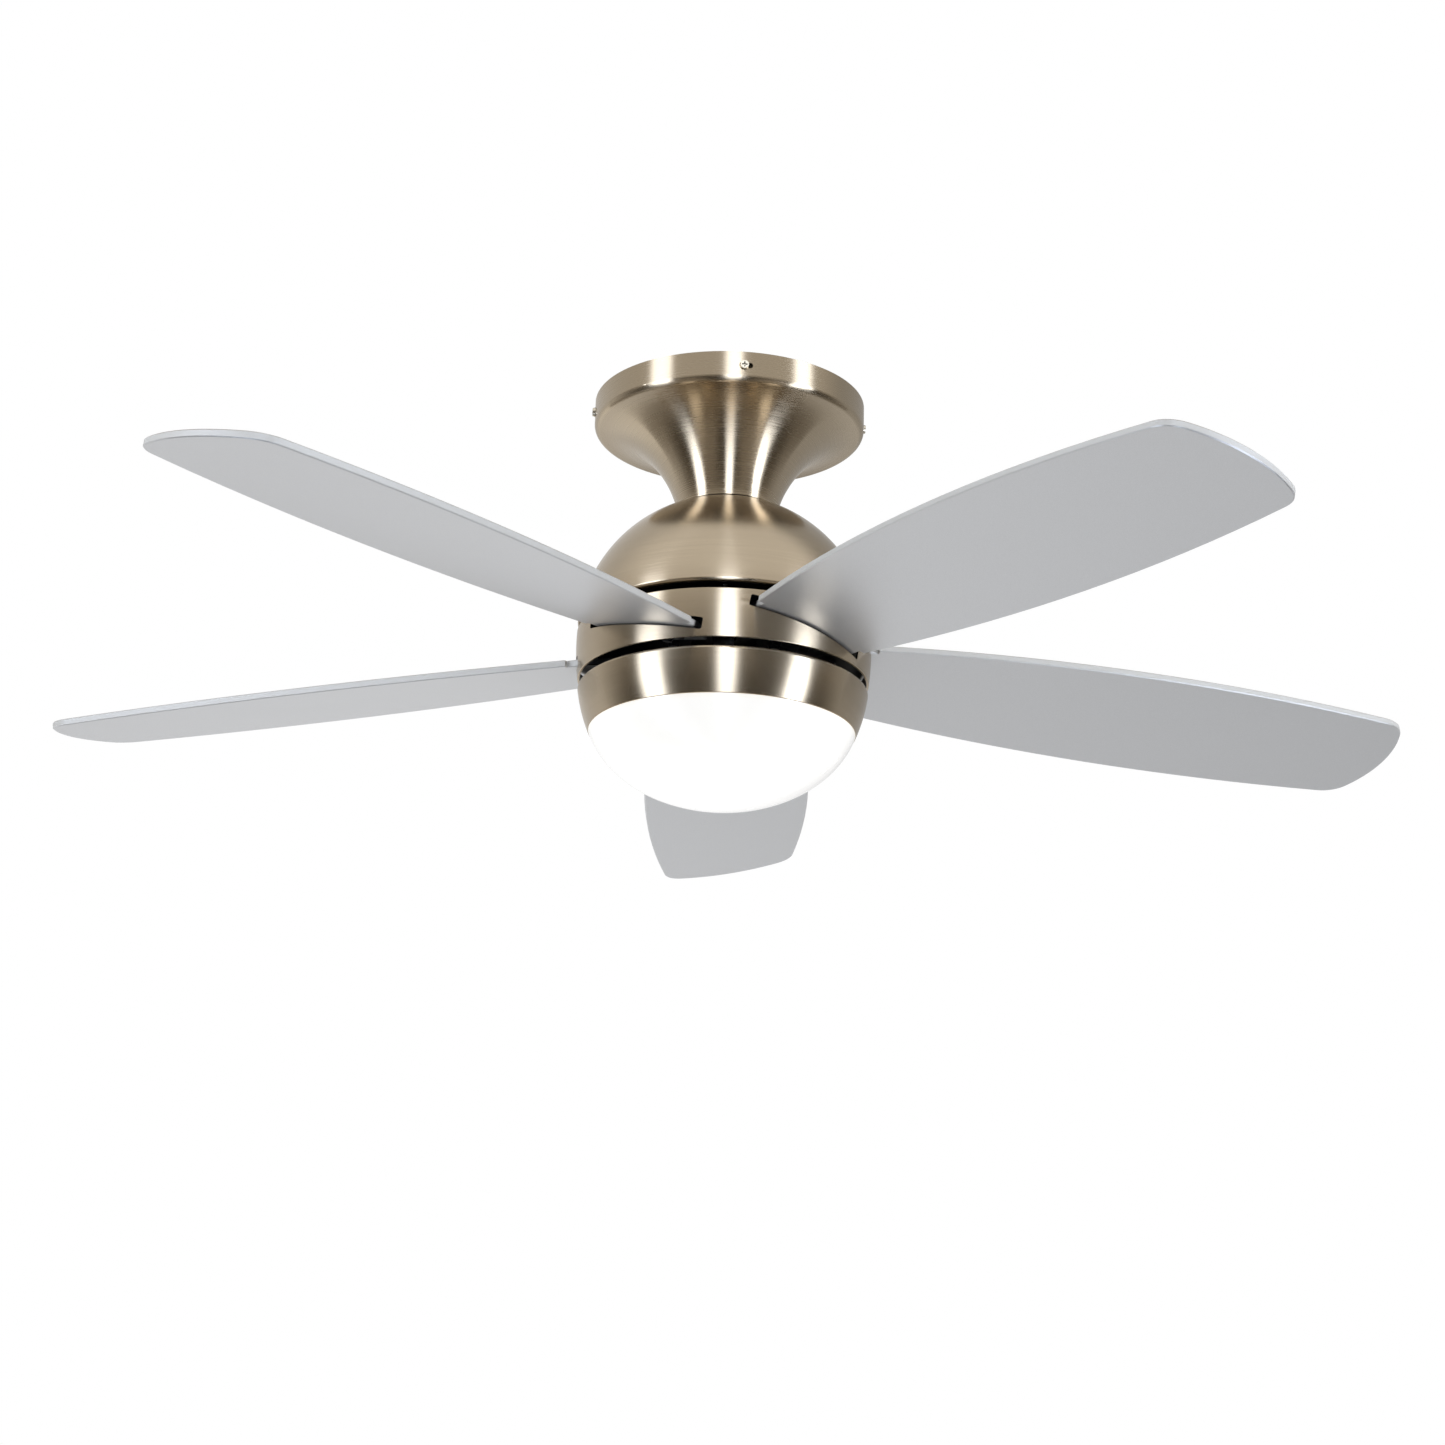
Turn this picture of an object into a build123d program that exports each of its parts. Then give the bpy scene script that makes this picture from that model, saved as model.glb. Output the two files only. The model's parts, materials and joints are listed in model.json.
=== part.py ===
from build123d import *

import os
from math import asin, degrees, radians, sqrt, tan

# Flush ceiling fan with a lit bowl. Lengths are in millimetres and angles in degrees.
# The origin lies on the fan's axis in the plane of the ceiling, with +Z up, so the fan hangs below z = 0.

# Clearances
seat_clearance = 0.02
running_clearance = 0.05
bolt_clearance = 0.2

# Ceiling bracket
plate_thickness = 2.0
plate_radius = 64.0
wire_hole_radius = 20.0
box_screw_spacing = 88.9
box_slot_length = 15.0
box_slot_width = 5.2
arm_width = 24.0
tab_rise = 6.5
tab_clearance = 1.2

# Canopy
canopy_radius = 99.8
canopy_wall = 1.4
canopy_band = 22.3
canopy_round = 4.5
canopy_ledge_flat = 1.0
canopy_ledge_slope = 5.5
flare_handle_length = 37.4
canopy_drop = 84.3
ceiling_gap = 0.5
neck_radius = 37.2
neck_slope = 3.65
neck_handle_length = 12.8

# Canopy screws
canopy_screw_count = 4
canopy_screw_turn = 5.6
canopy_screw_rise = 11.3
canopy_screw_radius = 2.0
canopy_screw_head = 3.6
canopy_screw_head_height = 2.1
canopy_screw_bite = 4.0
canopy_slot_travel = 4.0
recess_length = 4.0
recess_width = 1.0
recess_depth = 1.3

# Wiring boxes under the bracket
receiver_length = 56.0
receiver_width = 32.0
receiver_height = 16.0
terminal_length = 38.0
terminal_width = 16.0
terminal_height = 13.0
terminal_ways = 3
terminal_hole_radius = 2.2
box_offset = 44.0
box_round = 2.0

# Housing, from which the dome, band, collar and bowl take their radii
housing_radius = 106.7
dome_proud = 0.3
band_top_draw = 0.1
band_bottom_draw = 1.5
collar_top_draw = 1.7
collar_middle_draw = 4.8
collar_bottom_draw = 10.3
bowl_rim_step = 0.4
lip_width = 5.6

# Dome
dome_wall = 1.5
dome_height = 92.6
seam_gap = 0.9
seam_depth = 4.0
hem_width = 4.0
hem_round = 2.2
edge_round = 0.6

# Shaft and coupling
shaft_radius = 7.5
shaft_bore_radius = 4.0
shaft_rise = 12.0
stub_radius = 6.0
stub_length = 9.0
coupling_margin = 7.2
coupling_thickness = 6.0
coupling_hub_radius = 15.0
coupling_hub_length = 11.0
coupling_screw_count = 3
coupling_screw_radius = 2.5
pin_radius = 2.0

# Motor
upper_cover_height = 16.0
rotor_height = 30.0
lower_cover_height = 20.0
cover_wall = 4.0
cover_rim = 14.0
cover_rim_height = 5.0
cover_hub_wall = 5.0
cover_foot_radius = 50.0
cover_hole_clearance = 1.5
cover_vent_count = 6
cover_vent_width = 7.0
bearing_radius = 17.5
bearing_width = 11.0
bearing_lip = 2.0
ball_radius = 2.9
ball_count = 8
race_gap = 4.2
motor_screw_count = 4
motor_screw_radius = 2.0
stator_radius = 62.0
stator_height = 22.0
stator_hub_radius = 34.0
air_gap = 0.5
rotor_wall = 15.5
tooth_count = 12
tooth_width = 9.0
tooth_tip_depth = 7.0
tooth_slot = 5.0
coil_clearance = 0.2

# Rotating band
upper_gap = 5.6
band_height = 35.5
band_wall = 1.6
band_flange = 18.0
band_screw_count = 5
band_screw_radius = 2.0
slot_margin = 5.9
slot_clearance_below = 1.6
slot_clearance_above = 2.0
slot_corner = 1.5

# Hub and blades
hub_hole_radius = 24.0
hub_thickness = 5.0
hub_step = 4.3
hub_rim_width = 14.0
hub_rim_thickness = 2.5
hub_screw_count = 4
hub_screw_radius = 2.5
blade_count = 5
blade_turn = 16.96
blade_setting = 16.5
blade_pitch = 10.73
blade_droop = 1.8
blade_thickness = 5.0
blade_reach = 533.4
blade_tip_crown = 116.0
blade_tip_round = 22.0
blade_wide_at = 330.0
blade_half_width = 68.0
blade_shoulder_gap = 6.2
blade_shoulder_half_width = 47.5
blade_tip_half_width = 55.5
blade_root_offset = 2.0
blade_root_half_width = 43.5
blade_root_straight = 14.0
blade_root_start = 58.0
blade_root_end_half_width = 29.0
blade_root_round = 5.0
blade_edge_bevel = 0.7
pad_margin = 2.0
pad_start_half_width = 22.0
pad_end_half_width = 30.0
blade_screw_inset = 6.0
blade_screw_spread = 18.0
blade_screw_radius = 2.2
blade_screw_bite = 6.0
washer_radius = 5.0
washer_thickness = 1.0

# Light collar and its plate
lower_gap = 5.8
collar_height = 31.7
collar_wall = 1.5
collar_round = 2.0
collar_hole_radius = 28.0
lip_thickness = 1.5
fitter_radius = 46.0
fitter_thickness = 2.0
collar_screw_count = 3
collar_screw_radius = 2.0
screw_turn = 30.0
nut_width = 17.0
nut_height = 6.0

# Light source
driver_length = 60.0
driver_width = 28.0
driver_height = 12.0
driver_inset = 32.0
spacer_length = 15.0
spacer_radius = 3.5
spacer_inset = 14.0
spacer_count = 3
led_screw_radius = 1.5
led_screw_bite = 8.0
board_margin = 12.0
board_thickness = 1.6
chip_size = 3.6
chip_height = 0.8
chip_ring_spacing = 18.0
chip_ring_count = 3
inner_chip_count = 6

# Bowl
quarter_turn = 90.0
bowl_depth = 53.1
bowl_centre_rise = 19.3
bowl_wall = 3.0
bowl_clearance = 0.4
bowl_neck_height = 6.0
lug_count = 3
lug_angle = 14.0
lug_reach = 3.4
lug_height = 2.5
lug_turn = 90.0
notch_turn = 20.0
notch_margin = 1.5

# Screw heads, as shares of the screw they belong to
head_ratio = 1.8
head_height_ratio = 1.1
head_taper = 15.0

# Radii that follow from the housing
dome_radius = housing_radius + dome_proud
band_top_radius = housing_radius - band_top_draw
band_bottom_radius = housing_radius - band_bottom_draw
band_flange_radius = housing_radius - band_wall - band_flange
band_screw_circle = band_flange_radius + hub_rim_width / 2
collar_top_radius = housing_radius - collar_top_draw
collar_middle_radius = housing_radius - collar_middle_draw
collar_bottom_radius = housing_radius - collar_bottom_draw
lip_radius = collar_bottom_radius - lip_width
board_radius = lip_radius - board_margin
driver_offset = board_radius - driver_inset
spacer_circle = board_radius - spacer_inset
bowl_rim_radius = collar_bottom_radius - bowl_rim_step
bowl_neck_radius = lip_radius - bowl_clearance

# Levels down the axis
neck_z = -canopy_drop
seam_z = neck_z - seam_gap
dome_centre_z = seam_z - sqrt(dome_radius**2 - neck_radius**2)
dome_edge_z = neck_z - dome_height
band_top_z = dome_edge_z - upper_gap
band_bottom_z = band_top_z - band_height
collar_top_z = band_bottom_z - lower_gap
collar_bottom_z = collar_top_z - collar_height
bowl_top_z = collar_bottom_z - bowl_clearance
coupling_top_z = seam_z - dome_wall
coupling_bottom_z = coupling_top_z - coupling_thickness
hub_top_z = band_top_z
hub_bottom_z = hub_top_z - hub_thickness
lower_joint_z = hub_top_z + lower_cover_height
upper_joint_z = lower_joint_z + rotor_height
motor_top_z = upper_joint_z + upper_cover_height
stator_middle_z = (upper_joint_z + lower_joint_z) / 2
blade_plane_z = band_top_z - blade_setting
fitter_top_z = collar_top_z + fitter_thickness
web_bottom_z = collar_top_z - collar_wall
board_top_z = web_bottom_z - spacer_length
board_bottom_z = board_top_z - board_thickness
lip_top_z = collar_bottom_z + lip_thickness

# Sizes that follow from others
canopy_ledge = canopy_round + canopy_ledge_flat
canopy_flare_z = -canopy_band - canopy_ledge * tan(radians(canopy_ledge_slope))
canopy_inner_radius = canopy_radius - canopy_wall
canopy_screw_drop = canopy_band - canopy_screw_rise
tab_height = canopy_band - tab_rise
tab_face = sqrt((canopy_inner_radius - tab_clearance) ** 2 - (arm_width / 2) ** 2)
coupling_radius = neck_radius - coupling_margin
coupling_screw_circle = (coupling_hub_radius + coupling_radius) / 2
shaft_hole_radius = shaft_radius + cover_hole_clearance
ball_circle_radius = (shaft_radius + bearing_radius) / 2
rotor_bore_radius = stator_radius + air_gap
motor_radius = rotor_bore_radius + rotor_wall
cover_hub_radius = bearing_radius + cover_hub_wall
rim_inner_radius = motor_radius - cover_rim
motor_screw_circle = motor_radius - cover_rim / 2
hub_screw_circle = (cover_hub_radius + cover_foot_radius) / 2
tooth_tip_radius = stator_radius - tooth_tip_depth
coil_window_width = tooth_width + 2 * coil_clearance
coil_window_height = stator_height + 2 * coil_clearance
coil_inner_radius = stator_hub_radius + coil_clearance
coil_half_width = coil_inner_radius * tan(radians(180 / tooth_count)) - coil_clearance
coil_depth = coil_half_width - coil_window_width / 2
coil_outer_radius = sqrt((tooth_tip_radius - coil_clearance) ** 2 - coil_half_width**2)
hub_radius = band_flange_radius - hub_step
pad_start = blade_root_start + pad_margin
pad_end = hub_radius - pad_margin
blade_screw_inner = pad_start + blade_screw_inset
blade_screw_outer = pad_end - blade_screw_inset
blade_shoulder_at = sqrt(housing_radius**2 - blade_root_half_width**2) + blade_shoulder_gap
slot_half_length = blade_root_half_width + slot_margin
slot_height = blade_thickness + slot_clearance_below + slot_clearance_above
collar_screw_circle = (collar_hole_radius + fitter_radius) / 2


def facing_planes(count, turn, z):
    """Upright planes on the axis, one for each of count directions, facing outwards with +Z up."""
    planes = []
    for number in range(count):
        outward = Vector(1, 0, 0).rotate(Axis.Z, turn + 360 * number / count)
        planes.append(Plane((0, 0, z), x_dir=outward.rotate(Axis.Z, 90), z_dir=outward))
    return planes


def turned_planes(count, turn, z):
    """Level planes on the axis, each turned so that its x direction points at one of count directions."""
    return [Plane(Pos(0, 0, z) * Rot(0, 0, turn + 360 * number / count)) for number in range(count)]


def blade_plane(number, height):
    """Plane parallel to one blade's lower face, that height above it, with x running along the blade."""
    turn = Rot(0, 0, blade_turn + 360 * number / blade_count)
    tilt = Rot(0, blade_droop, 0) * Rot(-blade_pitch, 0, 0)
    return Plane(Pos(0, 0, blade_plane_z) * turn * tilt).offset(height)


def blade_section_plane(number):
    """Plane across one blade, with x running across the blade and facing outwards along it."""
    level = blade_plane(number, 0)
    return Plane(level.origin, x_dir=level.y_dir, z_dir=level.x_dir)


def ring_sector(inner, outer, angle):
    """Sketch of a piece of a flat ring, centred on the x direction."""
    with BuildSketch() as sector:
        with BuildLine():
            far = CenterArc((0, 0), outer, -angle / 2, angle)
            near = CenterArc((0, 0), inner, -angle / 2, angle)
            Line(near @ 0, far @ 0)
            Line(near @ 1, far @ 1)
        make_face()
    return sector.sketch


def screws(planes, places, radius, length, side=1):
    """Group of screws standing at the places on the planes, each with its head on that side of its plane."""
    with BuildPart() as group:
        with BuildSketch(*planes):
            with Locations(*places):
                Circle(radius)
        extrude(amount=-side * length)
        with BuildSketch(*planes):
            with Locations(*places):
                Circle(radius * head_ratio)
        extrude(amount=side * radius * head_height_ratio, taper=head_taper)
    return group


def ring_places(radius, count, turn):
    """Points evenly spaced on a circle in a plane."""
    return [Vector(radius, 0).rotate(Axis.Z, turn + 360 * number / count) for number in range(count)]


# Mounting bracket: a ceiling plate with four arms whose ends turn down into tabs
screw_planes = facing_planes(canopy_screw_count, canopy_screw_turn, -canopy_screw_drop)
with BuildPart() as mounting_bracket:
    with BuildSketch(Plane.XY.offset(-plate_thickness)):
        Circle(plate_radius)
        with PolarLocations(tab_face / 2, canopy_screw_count, canopy_screw_turn):
            Rectangle(tab_face, arm_width)
        Circle(wire_hole_radius, mode=Mode.SUBTRACT)
        with GridLocations(box_screw_spacing, 0, 2, 1):
            SlotOverall(box_slot_length, box_slot_width, mode=Mode.SUBTRACT)
    extrude(amount=plate_thickness)
    with BuildSketch(Plane.XY):
        with PolarLocations(tab_face - plate_thickness / 2, canopy_screw_count, canopy_screw_turn):
            Rectangle(plate_thickness, arm_width)
    extrude(amount=-tab_height)
    with BuildSketch(*screw_planes):
        Circle(canopy_screw_radius + seat_clearance)
    extrude(amount=canopy_radius, mode=Mode.SUBTRACT)

# Canopy: upright band, rounded shoulder and a trumpet down to the neck, open at the ceiling
with BuildPart() as canopy:
    with BuildSketch(Plane.XZ):
        with BuildLine():
            shoulder = (canopy_radius, -canopy_band)
            flare = Vector(canopy_radius - canopy_ledge, canopy_flare_z)
            neck = Vector(neck_radius, neck_z)
            flare_handle = flare + Vector(-flare_handle_length, 0).rotate(Axis.Z, canopy_ledge_slope)
            neck_handle = neck + Vector(0, neck_handle_length).rotate(Axis.Z, -neck_slope)
            Polyline((0, -ceiling_gap), (canopy_radius, -ceiling_gap), shoulder, flare)
            Bezier(flare, flare_handle, neck_handle, neck)
            Polyline(neck, (0, neck_z), (0, -ceiling_gap))
        face = make_face()
        fillet(face.vertices().sort_by_distance(shoulder)[0], canopy_round)
    revolve(axis=Axis.Z)
    offset(amount=-canopy_wall, openings=canopy.faces().sort_by(Axis.Z)[-1])
    with BuildSketch(Plane.XY.offset(neck_z)):
        Circle(shaft_radius + bolt_clearance)
        with Locations(*ring_places(coupling_screw_circle, coupling_screw_count, 0)):
            Circle(coupling_screw_radius + bolt_clearance)
    extrude(amount=canopy_wall, mode=Mode.SUBTRACT)
    with BuildSketch(*screw_planes):
        with Locations((canopy_slot_travel / 2, 0)):
            SlotCenterToCenter(canopy_slot_travel, 2 * (canopy_screw_radius + bolt_clearance))
    extrude(amount=canopy_radius, mode=Mode.SUBTRACT)

# Canopy screws: pan heads with a cross recess, through the canopy's slots into the bracket's tabs
with BuildPart() as canopy_screws:
    seat_planes = [plane.offset(canopy_radius) for plane in screw_planes]
    with BuildSketch(*seat_planes):
        Circle(canopy_screw_radius)
    extrude(amount=tab_face - plate_thickness - canopy_screw_bite - canopy_radius)
    with BuildSketch(*seat_planes):
        Circle(canopy_screw_head)
    extrude(amount=canopy_screw_head_height, taper=head_taper)
    with BuildSketch(*[plane.offset(canopy_screw_head_height) for plane in seat_planes]):
        Rectangle(recess_length, recess_width)
        Rectangle(recess_width, recess_length)
    extrude(amount=-recess_depth, mode=Mode.SUBTRACT)

# Remote receiver: a closed moulded box under the bracket
with BuildPart() as remote_receiver:
    with BuildSketch(Plane.XY.offset(-plate_thickness)):
        with Locations((0, box_offset)):
            RectangleRounded(receiver_length, receiver_width, box_round)
    extrude(amount=-receiver_height)
    chamfer(remote_receiver.faces().sort_by(Axis.Z)[0].edges(), box_round / 2)

# Terminal block: a moulded bar with a wire hole for each way
with BuildPart() as terminal_block:
    with BuildSketch(Plane.XY.offset(-plate_thickness)):
        with Locations((0, -box_offset)):
            RectangleRounded(terminal_length, terminal_width, box_round)
    extrude(amount=-terminal_height)
    with BuildSketch(Plane.XZ.offset(box_offset)):
        with Locations((0, -plate_thickness - terminal_height / 2)):
            with GridLocations(terminal_length / terminal_ways, 0, terminal_ways, 1):
                Circle(terminal_hole_radius)
    extrude(amount=terminal_width, both=True, mode=Mode.SUBTRACT)

# Dome: spherical shell with a raised crown that the canopy's floor stands on, and a hem turned in at its edge
def dome_point(radius, z):
    """Point of a sphere about the dome's centre, at that height."""
    return (sqrt(radius**2 - (z - dome_centre_z) ** 2), z)


with BuildPart() as upper_dome:
    with BuildSketch(Plane.XZ):
        with BuildLine():
            inner_radius = dome_radius - dome_wall
            middle_z = (seam_z + dome_edge_z) / 2
            hem_top_z = dome_edge_z + dome_wall
            outer_edge = dome_point(dome_radius, dome_edge_z)
            inner_edge = dome_point(inner_radius, hem_top_z)
            inner_crown = dome_point(inner_radius, coupling_top_z)
            hem_radius = outer_edge[0] - hem_width
            crown_radius = neck_radius - seam_depth
            hole_radius = shaft_radius + bolt_clearance
            Polyline(
                (hole_radius, neck_z),
                (crown_radius, neck_z),
                (crown_radius, seam_z),
                (neck_radius, seam_z),
            )
            ThreePointArc((neck_radius, seam_z), dome_point(dome_radius, middle_z), outer_edge)
            Polyline(outer_edge, (hem_radius, dome_edge_z), (hem_radius, hem_top_z), inner_edge)
            ThreePointArc(inner_edge, dome_point(inner_radius, middle_z), inner_crown)
            Polyline(inner_crown, (hole_radius, coupling_top_z), (hole_radius, neck_z))
        face = make_face()
        fillet(face.vertices().sort_by_distance(outer_edge)[0], hem_round)
    revolve(axis=Axis.Z)
    with BuildSketch(Plane.XY.offset(neck_z)):
        with Locations(*ring_places(coupling_screw_circle, coupling_screw_count, 0)):
            Circle(coupling_screw_radius + bolt_clearance)
    extrude(amount=coupling_top_z - neck_z, mode=Mode.SUBTRACT)

# Shaft coupling: a flange under the dome's crown with a hub that holds the shaft on a cross pin
pin_z = coupling_bottom_z - coupling_hub_length / 2
with BuildPart() as shaft_coupling:
    with BuildSketch(Plane.XY.offset(coupling_top_z)):
        Circle(coupling_radius)
    extrude(amount=-coupling_thickness)
    with BuildSketch(Plane.XY.offset(coupling_bottom_z)):
        Circle(coupling_hub_radius)
    extrude(amount=-coupling_hub_length)
    with BuildSketch(Plane.XY.offset(coupling_top_z)):
        Circle(shaft_radius + seat_clearance)
    extrude(amount=-(coupling_thickness + coupling_hub_length), mode=Mode.SUBTRACT)
    with BuildSketch(Plane.XY.offset(coupling_top_z)):
        with Locations(*ring_places(coupling_screw_circle, coupling_screw_count, 0)):
            Circle(coupling_screw_radius + seat_clearance)
    extrude(amount=-coupling_thickness, mode=Mode.SUBTRACT)
    with BuildSketch(Plane.XZ):
        with Locations((0, pin_z)):
            Circle(pin_radius + seat_clearance)
    extrude(amount=coupling_hub_radius, both=True, mode=Mode.SUBTRACT)

coupling_screws = screws(
    [Plane.XY.offset(neck_z + canopy_wall)],
    ring_places(coupling_screw_circle, coupling_screw_count, 0),
    coupling_screw_radius,
    neck_z + canopy_wall - coupling_bottom_z,
)

with BuildPart() as shaft_pin:
    with BuildSketch(Plane.XZ):
        with Locations((0, pin_z)):
            Circle(pin_radius)
    extrude(amount=coupling_hub_radius, both=True)

# Motor shaft: hollow for the lamp's wires, shouldered and threaded at its lower end
with BuildPart() as motor_shaft:
    shaft_top_z = neck_z + canopy_wall + shaft_rise
    with BuildSketch(Plane.XY.offset(fitter_top_z)):
        Circle(shaft_radius)
    extrude(amount=shaft_top_z - fitter_top_z)
    with BuildSketch(Plane.XY.offset(fitter_top_z)):
        Circle(stub_radius)
    extrude(amount=-(fitter_thickness + stub_length))
    with BuildSketch(Plane.XY.offset(shaft_top_z)):
        Circle(shaft_bore_radius)
    extrude(amount=-(shaft_top_z - fitter_top_z + fitter_thickness + stub_length), mode=Mode.SUBTRACT)
    with BuildSketch(Plane.XZ):
        with Locations((0, pin_z)):
            Circle(pin_radius + seat_clearance)
    extrude(amount=shaft_radius * 2, both=True, mode=Mode.SUBTRACT)


# Bearings: grooved rings with balls between them
def bearing_ring(inner, outer, top_z):
    """One race of a ball bearing, grooved where the balls run."""
    with BuildPart() as ring:
        with BuildSketch(Plane.XZ):
            with Locations(((inner + outer) / 2, top_z - bearing_width / 2)):
                Rectangle(outer - inner, bearing_width)
            with Locations((ball_circle_radius, top_z - bearing_width / 2)):
                Circle(ball_radius + running_clearance, mode=Mode.SUBTRACT)
        revolve(axis=Axis.Z)
    return ring


upper_bearing_z = motor_top_z - bearing_lip
lower_bearing_z = hub_top_z + bearing_lip + bearing_width
inner_race_radius = ball_circle_radius - race_gap / 2
outer_race_radius = ball_circle_radius + race_gap / 2
inner_bore_radius = shaft_radius + seat_clearance
outer_seat_radius = bearing_radius - seat_clearance
upper_bearing_inner_ring = bearing_ring(inner_bore_radius, inner_race_radius, upper_bearing_z)
upper_bearing_outer_ring = bearing_ring(outer_race_radius, outer_seat_radius, upper_bearing_z)
lower_bearing_inner_ring = bearing_ring(inner_bore_radius, inner_race_radius, lower_bearing_z)
lower_bearing_outer_ring = bearing_ring(outer_race_radius, outer_seat_radius, lower_bearing_z)

with BuildPart() as bearing_balls:
    for bearing_z in (upper_bearing_z, lower_bearing_z):
        with Locations((0, 0, bearing_z - bearing_width / 2)):
            with PolarLocations(ball_circle_radius, ball_count):
                Sphere(ball_radius)

# Stator: toothed core on the shaft and one coil round each tooth
with BuildPart() as stator_core:
    with BuildSketch(Plane.XY.offset(stator_middle_z)):
        Circle(stator_radius)
        Circle(tooth_tip_radius, mode=Mode.SUBTRACT)
        with PolarLocations(stator_radius, tooth_count, 180 / tooth_count):
            Rectangle(3 * tooth_tip_depth, tooth_slot, mode=Mode.SUBTRACT)
        Circle(stator_hub_radius)
        with PolarLocations(stator_hub_radius, tooth_count):
            Rectangle(2 * (tooth_tip_radius - stator_hub_radius) + tooth_tip_depth, tooth_width)
        Circle(shaft_radius + seat_clearance, mode=Mode.SUBTRACT)
    extrude(amount=stator_height / 2, both=True)

with BuildPart() as stator_coils:
    coil_planes = facing_planes(tooth_count, 0, stator_middle_z)
    with BuildSketch(*[plane.offset(coil_inner_radius) for plane in coil_planes]):
        RectangleRounded(2 * coil_half_width, coil_window_height + 2 * coil_depth, coil_depth)
        Rectangle(coil_window_width, coil_window_height, mode=Mode.SUBTRACT)
    extrude(amount=coil_outer_radius - coil_inner_radius)

# Rotor: two covers on the bearings, clamped on the rotor ring
with BuildPart() as motor_upper_cover:
    with BuildSketch(Plane.XZ):
        with BuildLine():
            seat_z = motor_top_z - bearing_lip
            hub_end_z = seat_z - bearing_width
            rim_top_z = upper_joint_z + cover_rim_height
            Polyline(
                (shaft_hole_radius, motor_top_z),
                (cover_hub_radius, motor_top_z),
                (rim_inner_radius, rim_top_z),
                (motor_radius, rim_top_z),
                (motor_radius, upper_joint_z),
                (rim_inner_radius, upper_joint_z),
                (rim_inner_radius, rim_top_z - cover_wall),
                (cover_hub_radius, motor_top_z - cover_wall),
                (cover_hub_radius, hub_end_z),
                (bearing_radius, hub_end_z),
                (bearing_radius, seat_z),
                (shaft_hole_radius, seat_z),
                close=True,
            )
        make_face()
    revolve(axis=Axis.Z)
    vent_middle = (cover_hub_radius + rim_inner_radius) / 2
    vent_length = (rim_inner_radius - cover_hub_radius) / 2
    with BuildSketch(Plane.XY.offset(motor_top_z)):
        with PolarLocations(vent_middle, cover_vent_count):
            SlotOverall(vent_length, cover_vent_width)
    extrude(amount=-upper_cover_height, mode=Mode.SUBTRACT)
    with BuildSketch(Plane.XY.offset(rim_top_z)):
        with Locations(*ring_places(motor_screw_circle, motor_screw_count, 0)):
            Circle(motor_screw_radius + seat_clearance)
    extrude(amount=-cover_rim_height, mode=Mode.SUBTRACT)

with BuildPart() as rotor_ring:
    with BuildSketch(Plane.XY.offset(lower_joint_z)):
        Circle(motor_radius)
        Circle(rotor_bore_radius, mode=Mode.SUBTRACT)
        with Locations(*ring_places(motor_screw_circle, motor_screw_count, 0)):
            Circle(motor_screw_radius + seat_clearance, mode=Mode.SUBTRACT)
    extrude(amount=rotor_height)

with BuildPart() as motor_lower_cover:
    with BuildSketch(Plane.XZ):
        with BuildLine():
            seat_z = hub_top_z + bearing_lip
            hub_end_z = seat_z + bearing_width
            rim_bottom_z = lower_joint_z - cover_rim_height
            Polyline(
                (shaft_hole_radius, hub_top_z),
                (cover_foot_radius, hub_top_z),
                (rim_inner_radius, rim_bottom_z),
                (motor_radius, rim_bottom_z),
                (motor_radius, lower_joint_z),
                (rim_inner_radius, lower_joint_z),
                (rim_inner_radius, rim_bottom_z + cover_wall),
                (cover_foot_radius, hub_top_z + cover_wall),
                (cover_hub_radius, hub_top_z + cover_wall),
                (cover_hub_radius, hub_end_z),
                (bearing_radius, hub_end_z),
                (bearing_radius, seat_z),
                (shaft_hole_radius, seat_z),
                close=True,
            )
        make_face()
    revolve(axis=Axis.Z)
    with BuildSketch(Plane.XY.offset(lower_joint_z)):
        with Locations(*ring_places(motor_screw_circle, motor_screw_count, 0)):
            Circle(motor_screw_radius + seat_clearance)
    extrude(amount=-cover_rim_height, mode=Mode.SUBTRACT)
    with BuildSketch(Plane.XY.offset(hub_top_z)):
        with Locations(*ring_places(hub_screw_circle, hub_screw_count, 0)):
            Circle(hub_screw_radius + seat_clearance)
    extrude(amount=cover_wall, mode=Mode.SUBTRACT)

motor_screws = screws(
    [Plane.XY.offset(upper_joint_z + cover_rim_height)],
    ring_places(motor_screw_circle, motor_screw_count, 0),
    motor_screw_radius,
    rotor_height + 2 * cover_rim_height,
)

# Blade hub: a flywheel under the motor with a pitched pad for each blade
blade_numbers = range(blade_count)
blade_screw_places = [
    (blade_screw_inner, 0),
    (blade_screw_outer, blade_screw_spread),
    (blade_screw_outer, -blade_screw_spread),
]
with BuildPart() as blade_pads:
    with BuildSketch(*[blade_plane(number, blade_thickness) for number in blade_numbers]):
        with BuildLine():
            Polyline(
                (pad_start, pad_start_half_width),
                (pad_end, pad_end_half_width),
                (pad_end, -pad_end_half_width),
                (pad_start, -pad_start_half_width),
                close=True,
            )
        make_face()
    extrude(amount=2 * blade_setting)
    split(bisect_by=Plane.XY.offset(hub_bottom_z + hub_thickness / 2), keep=Keep.BOTTOM)

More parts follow.
